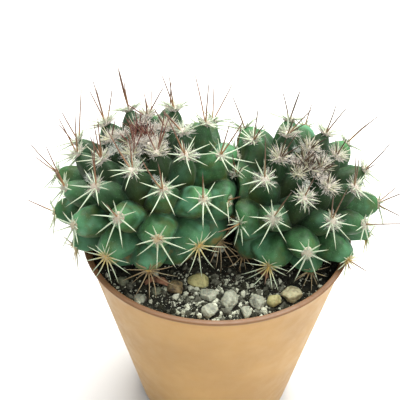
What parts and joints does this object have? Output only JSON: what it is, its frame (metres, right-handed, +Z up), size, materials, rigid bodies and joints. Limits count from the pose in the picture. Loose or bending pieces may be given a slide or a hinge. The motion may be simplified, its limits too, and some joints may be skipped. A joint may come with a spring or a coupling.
{
  "type": "potted cactus",
  "caption": "Small nipple cactus with two crowded, spiny heads of rounded tubercles, growing in gritty soil in a round tapered plastic nursery pot with drain holes.",
  "frame": {"origin": "centre of the pot's flat underside", "axes": "+Z up along the pot's axis, -Y towards the front, where the soil shows most, +X towards the smaller head"},
  "size_m": [0.0852, 0.0606, 0.0849],
  "materials": {
    "pot_plastic": "satin",
    "potting_mix": "matte",
    "cactus_flesh": "satin",
    "pebble_stone": "matte",
    "pale_spine": "satin",
    "brown_spine": "satin",
    "areole_wool": "matte"
  },
  "bodies": {
    "root": {"pot": "pot_plastic", "soil": "potting_mix", "head_left": "cactus_flesh", "head_right": "cactus_flesh", "pebble_01": "pebble_stone", "pebble_02": "pebble_stone", "pebble_03": "pebble_stone", "pebble_04": "pebble_stone", "pebble_05": "pebble_stone", "pebble_06": "pebble_stone", "pebble_07": "pebble_stone", "pebble_08": "pebble_stone", "pebble_09": "pebble_stone", "pebble_10": "pebble_stone", "pebble_11": "pebble_stone", "pebble_12": "pebble_stone", "pebble_13": "pebble_stone", "pebble_14": "pebble_stone", "pebble_15": "pebble_stone"}
  },
  "joints": []
}
